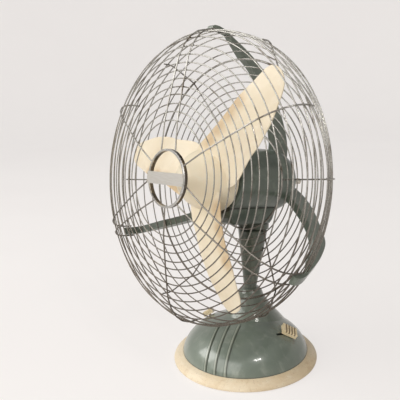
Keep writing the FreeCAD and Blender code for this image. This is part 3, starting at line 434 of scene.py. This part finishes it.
# A dark line marks the seam where the pan meets the drum, and the pan's enamel is a little darker
# than the drum's, as painted shade.
pan_enamel = enamel("pan_enamel", tone(92, 103, 93), tone(76, 87, 77), tone(128, 138, 125),
                    GREEN_CHIP, gloss=(0.28, 0.44), run=(0.4, 1, 1), stain_from=0.64)
seam = pan_enamel.span(radius(pan_enamel, tuple(head_point(0, 0, 0)), tuple(SHAFT)),
                       *SEAM, 0.9, 0.0)
pan_enamel.wire(pan_enamel.blend(seam, pan_enamel.colour, tone(40, 38, 31)), "Base Color")
finish_node(pan_enamel, "gear_pan")
finish_node(zinc, "pan_screws")

nickel = Recipe("dull_nickel")
wear = nickel.grain(300.0, 6.0, 0.65)
nickel.wire(nickel.blend(nickel.span(wear, 0.45, 0.7), tone(206, 202, 192),
                         tone(150, 138, 118)), "Base Color")
nickel.wire(nickel.span(wear, 0.3, 0.7, 0.2, 0.4), "Roughness")
nickel.relief(wear, 0.08, 0.0002)
nickel.set(Metallic=1.0)
finish_node(nickel, "oscillation_knob")


# --- motor ---
# Inside the drum: a laminated iron stator with varnished copper coils, a laminated rotor
# on the shaft, and sintered bronze bushes in the front shell and in a steel bracket.

lamination = Recipe("laminated_iron")
leaf = lamination.grain(500.0, 3.0, 0.5, (0.2, 1, 0.2))
lamination.wire(lamination.blend(lamination.span(leaf, 0.4, 0.6), tone(74, 74, 76),
                                 tone(106, 104, 102)), "Base Color")
lamination.relief(leaf, 0.4, 0.0003)
lamination.set(Metallic=0.8, Roughness=0.5)
finish_node(lamination, "stator_core", "rotor_core")

winding = Recipe("varnished_winding")
strand = winding.grain(420.0, 3.0, 0.5, (1, 1, 4), 2.0)
winding.wire(winding.blend(winding.span(strand, 0.35, 0.65), tone(120, 56, 30),
                           tone(176, 96, 54)), "Base Color")
winding.relief(strand, 0.7, 0.0006)
winding.set(Metallic=0.5, Roughness=0.35, Coat_Weight=0.6)
finish_node(winding, "windings")

bronze = Recipe("sintered_bronze")
pore = bronze.grain(1200.0, 4.0, 0.6)
bronze.wire(bronze.blend(bronze.span(pore, 0.4, 0.7), tone(190, 154, 96), tone(124, 92, 52)),
            "Base Color")
bronze.relief(pore, 0.25, 0.0002)
bronze.set(Metallic=1.0, Roughness=0.38)
finish_node(bronze, "front_bush", "rear_bush")
finish_node(machined_steel, "motor_shaft", "rear_bracket")


# --- swing gear ---
# A worm on the shaft turns a wheel of brown fabric-filled resin.  The wheel, its steel
# spindle on a shelf and a crank disc turn together, and a link joins the disc to the arm.

gear_resin = Recipe("gear_resin")
weave = gear_resin.grain(800.0, 4.0, 0.6)
gear_resin.wire(gear_resin.blend(gear_resin.span(weave, 0.4, 0.65), tone(120, 82, 44),
                                 tone(158, 114, 66)), "Base Color")
gear_resin.relief(weave, 0.2, 0.0003)
gear_resin.set(Roughness=0.5)
finish_node(gear_resin, "worm_wheel")
finish_node(machined_steel, "worm", "spindle_shelf", "wheel_spindle", "crank_disc", "link_rod")


# --- spinner and blades ---
# A pressed bowl and three broad pressed blades in ivory enamel.  The enamel has mellowed, and
# painted shade browns the blades' leading edges where they run into the bowl.

BLADE_ANGLES = (43.5, 163.5, 283.5)  # degrees round the shaft
EDGE_SHADE_SPOTS = ((64, 33, 2), (88, 24, 2), (112, 20, 0), (134, 17.5, -3))  # mm, degrees, mm
EDGE_SHADE_REACH = 0.024

ivory = enamel("ivory_fan_enamel", tone(248, 236, 210), tone(242, 227, 198),
               tone(250, 243, 224), tone(170, 136, 88), gloss=(0.42, 0.58), stain_from=0.68,
               coat=0.25)
finish_node(ivory, "spinner")
finish_node(bronze, "spinner_bush")
finish_node(machined_steel, "spinner_screw")

blade_ivory = enamel("ivory_blade_enamel", tone(238, 226, 203), tone(231, 217, 191),
                     tone(243, 234, 215), tone(176, 142, 94), gloss=(0.5, 0.65),
                     stain_from=0.68, coat=0.06)
# Painted shade browns the blades' leading edges near their roots, broken up by a veil of noise.
edges = None
for az in BLADE_ANGLES:
    for r, off, depth in EDGE_SHADE_SPOTS:
        spot = near(blade_ivory, head_point(r, az + off, depth), EDGE_SHADE_REACH)
        edges = spot if edges is None else blade_ivory.sum("MAXIMUM", edges, spot)
veil = blade_ivory.span(blade_ivory.grain(34.0, 5.0, 0.6, warp=0.4), 0.25, 0.7, 0.35, 0.75)
blade_ivory.wire(blade_ivory.blend(blade_ivory.times(edges, veil), blade_ivory.colour,
                                   tone(196, 160, 108)), "Base Color")
finish_node(blade_ivory, "blade_1", "blade_2", "blade_3")


# --- hub ring ---
# The plated ring at the middle of the guard, bright on its face and dark on its walls, with a
# satin strap riveted across it.  The strap is left bare.

HUB_DEPTH = 66  # mm ahead of the rim
HUB_FACE = (0.0012, 0.0028)  # from there to where the bright face begins

chrome = Recipe("bright_plate")
smear = chrome.grain(160.0, 6.0, 0.6)
face = chrome.span(offset(chrome, tuple(head_point(0, 0, HUB_DEPTH)), tuple(SHAFT)), *HUB_FACE)
plate = chrome.blend(chrome.span(smear, 0.5, 0.75), tone(206, 205, 202), tone(152, 146, 136))
chrome.wire(chrome.blend(face, tone(98, 91, 82), plate), "Base Color")
chrome.wire(chrome.span(smear, 0.3, 0.75, 0.18, 0.38), "Roughness")
chrome.relief(chrome.grain(900.0), 0.04, 0.0001)
chrome.set(Metallic=1.0)
finish_node(chrome, "hub_ring")

satin = Recipe("satin_strap")
brush = satin.grain(700.0, 3.0, 0.5, (0.08, 0.08, 1))
satin.wire(satin.blend(satin.span(brush, 0.3, 0.7), tone(210, 208, 203), tone(202, 199, 192)),
           "Base Color")
satin.wire(satin.span(brush, 0.3, 0.7, 0.34, 0.42), "Roughness")
satin.relief(brush, 0.004, 0.0001)
satin.set(Metallic=0.9)
finish_node(satin, "badge_strap")
finish_node(nickel, "strap_rivets")


# --- guard wires ---
# Steel wire rings spot welded inside bent spokes, plated once and now dull, brownish
# and a little pitted where the plating has gone.

DARKER_HEIGHTS = (0.42, 0.16)  # the wire is darker from the first height down to the second

guard_wire = Recipe("dull_plated_wire")
tarnish = guard_wire.span(guard_wire.grain(26.0, 7.0, 0.65), 0.46, 0.7)
pitting = guard_wire.span(guard_wire.grain(700.0, 5.0, 0.65), 0.5, 0.68)
low_down = guard_wire.times(along_height(guard_wire, *DARKER_HEIGHTS), 0.85)
metal = guard_wire.blend(guard_wire.sum("MAXIMUM", tarnish, low_down), tone(172, 171, 166),
                         tone(92, 84, 74))
guard_wire.wire(guard_wire.blend(guard_wire.times(pitting, 0.6), metal, tone(92, 72, 54)),
                "Base Color")
guard_wire.wire(guard_wire.sum("ADD", guard_wire.times(pitting, 0.25), 0.27), "Roughness")
guard_wire.relief(pitting, -0.2, 0.0001)
guard_wire.set(Metallic=0.9)
finish_node(guard_wire, "front_rings", "front_spokes", "rim_wires", "rear_rings", "knee_ring",
            "rear_spokes", "inner_ring")

# Small beads of weld where the rings cross the spokes.  The seats are the radius and depth
# of each ring, in mm, from the hub out to the rim.
FRONT_SEATS = ((84.4, 63.9), (97.1, 62.0), (108.7, 60.2), (122.0, 58.2), (133.1, 56.5),
               (145.0, 54.5), (157.0, 52.3), (168.0, 50.3), (180.0, 47.5), (193.1, 42.0),
               (207.1, 32.0), (217.6, 18.0), (220.9, 7.0), (221.3, -4.1))
REAR_SEATS = ((97.5, -86.9), (109.0, -83.9), (120.5, -80.9), (132.0, -77.9), (143.5, -74.9),
              (155.0, -71.9), (166.5, -68.9), (178.0, -65.8), (199.5, -52.0), (209.5, -41.1),
              (218.9, -30.0), (221.3, -17.5))
WELD_SHIFT = 0.95  # mm from the middle of a ring's wire toward the spoke
WELD_RADIUS = 0.0012
FRONT_TURN, REAR_TURN = 28.5, 4  # degrees round the shaft to the first spokes
INNER_END, OUTER_END = 43.8, 223.5  # radii of a front spoke's ends, in mm
PAIR_INNER, PAIR_OUTER = 16.5, 9.0  # half the gap of a pair of spokes there, in mm

weld_metal = Recipe("weld_metal")
slag = weld_metal.grain(900.0, 5.0, 0.7)
weld_metal.wire(weld_metal.blend(weld_metal.span(slag, 0.4, 0.66), tone(132, 124, 112),
                                 tone(84, 68, 52)), "Base Color")
weld_metal.wire(weld_metal.span(slag, 0.3, 0.7, 0.35, 0.6), "Roughness")
weld_metal.relief(slag, 0.4, 0.0002)
weld_metal.set(Metallic=0.85)


def weld_line(seats, toward):
    """Radius and depth of the beads along a spoke in front of the rings, or behind for -1."""
    for (r, d), (r2, d2) in zip(seats, seats[1:]):
        shift = Vector((d - d2, r2 - r)).normalized() * toward * WELD_SHIFT
        yield r + shift.x, d + shift.y


def pair_angle(r, side):
    """Angle of a paired spoke off its middle line at a radius."""
    reach = (r - INNER_END) / (OUTER_END - INNER_END)
    return math.degrees(math.asin(side * (PAIR_INNER + (PAIR_OUTER - PAIR_INNER) * reach) / r))


welds = bmesh.new()
spots = []
for k in range(6):
    for side in ((0,) if k % 2 == 0 else (-1, 1)):
        for r, d in weld_line(FRONT_SEATS, 1):
            spots.append(head_point(r, FRONT_TURN + 60 * k + pair_angle(r, side), d))
    for r, d in weld_line(REAR_SEATS, -1):
        spots.append(head_point(r, REAR_TURN + 60 * k, d))
for spot in spots:
    bmesh.ops.create_uvsphere(welds, u_segments=7, v_segments=5, radius=WELD_RADIUS,
                              matrix=Matrix.Translation(spot))
weld_beads = add_piece("weld_beads", welds, weld_metal)
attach(weld_beads, "head")


# --- guard arms ---
# Three cast arms that curve out from the tail of the motor to the rim of the guard, in
# the same enamel as the housing, each held by a cheese-head screw.

arm_enamel = enamel("arm_enamel", tone(112, 121, 110), tone(92, 102, 92),
                    tone(148, 156, 144), GREEN_CHIP, gloss=(0.3, 0.46), stain_from=0.62)
finish_node(arm_enamel, "guard_arm_top", "guard_arm_left", "guard_arm_right")
finish_node(zinc, "arm_screws")


# --- light ---
# Soft daylight from a window on the left and from the room in front, two small ceiling
# lamps that show on the dome, and a pale surround, brighter on the window's side.

DAYLIGHT = (1.0, 0.985, 0.955)
LAMPLIGHT = (1.0, 0.97, 0.93)
FAN_MIDDLE, DOME_MIDDLE = (0, 0, 0.25), (0, 0, 0.1)
LAMPS = (  # name, place, where it points, width and height, watts, tint
    ("window", (-1.95, -1.35, 1.8), FAN_MIDDLE, (1.6, 1.4), 39.0, DAYLIGHT),
    ("room", (-0.3, -2.36, 1.3), FAN_MIDDLE, (2.4, 1.8), 32.0, DAYLIGHT),
    ("ceiling_left", (1.08, -0.72, 1.65), DOME_MIDDLE, (0.09, 0.09), 3.5, LAMPLIGHT),
    ("ceiling_right", (1.18, -0.52, 1.65), DOME_MIDDLE, (0.09, 0.09), 3.5, LAMPLIGHT),
)
SKY_TINT = (1.0, 0.985, 0.97, 1.0)
SKY_STRENGTH = 0.2
BRIGHT_SIDE = (-0.527, -0.628, 0.574)  # toward the window
SIDE_FROM, SIDE_TO = -0.2, 0.7  # how far a direction leans that way
SIDE_DIM, SIDE_BRIGHT = 0.3, 1.0

for name, place, aim, size, power, tint in LAMPS:
    lamp = bpy.data.objects.new(name, bpy.data.lights.new(name, "AREA"))
    bpy.context.scene.collection.objects.link(lamp)
    lamp.location = place
    lamp.rotation_euler = (Vector(aim) - Vector(place)).to_track_quat("-Z", "Y").to_euler()
    lamp.data.shape = "RECTANGLE"
    lamp.data.size, lamp.data.size_y = size
    lamp.data.energy = power
    lamp.data.color = tint

surround = bpy.data.worlds.new("surround")
bpy.context.scene.world = surround
surround.use_nodes = True
air = surround.node_tree
sky = air.nodes["Background"]
feed(air, sky, {"Color": SKY_TINT, "Strength": SKY_STRENGTH})
ray = air.nodes.new("ShaderNodeLightPath").outputs
heading = air.nodes.new("ShaderNodeTexCoord").outputs["Generated"]
facing = air.nodes.new("ShaderNodeVectorMath")
facing.operation = "DOT_PRODUCT"
feed(air, facing, {0: heading, 1: BRIGHT_SIDE})
lean = air.nodes.new("ShaderNodeMapRange")
feed(air, lean, {"Value": facing.outputs["Value"], "From Min": SIDE_FROM, "From Max": SIDE_TO,
                 "To Min": SIDE_DIM, "To Max": SIDE_BRIGHT})
level = air.nodes.new("ShaderNodeMath")
shown = air.nodes.new("ShaderNodeMath")
level.operation = shown.operation = "MAXIMUM"
feed(air, level, {0: lean.outputs["Result"], 1: ray["Is Camera Ray"]})
feed(air, shown, {0: ray["Is Camera Ray"], 1: ray["Is Glossy Ray"]})
beyond = air.nodes.new("ShaderNodeBackground")
feed(air, beyond, {"Color": tone(232, 228, 225), "Strength": level.outputs[0]})
pick = air.nodes.new("ShaderNodeMixShader")
feed(air, pick, {0: shown.outputs[0], 1: sky.outputs[0], 2: beyond.outputs[0]})
feed(air, air.nodes["World Output"], {"Surface": pick.outputs[0]})
bpy.context.scene.view_settings.view_transform = "Standard"
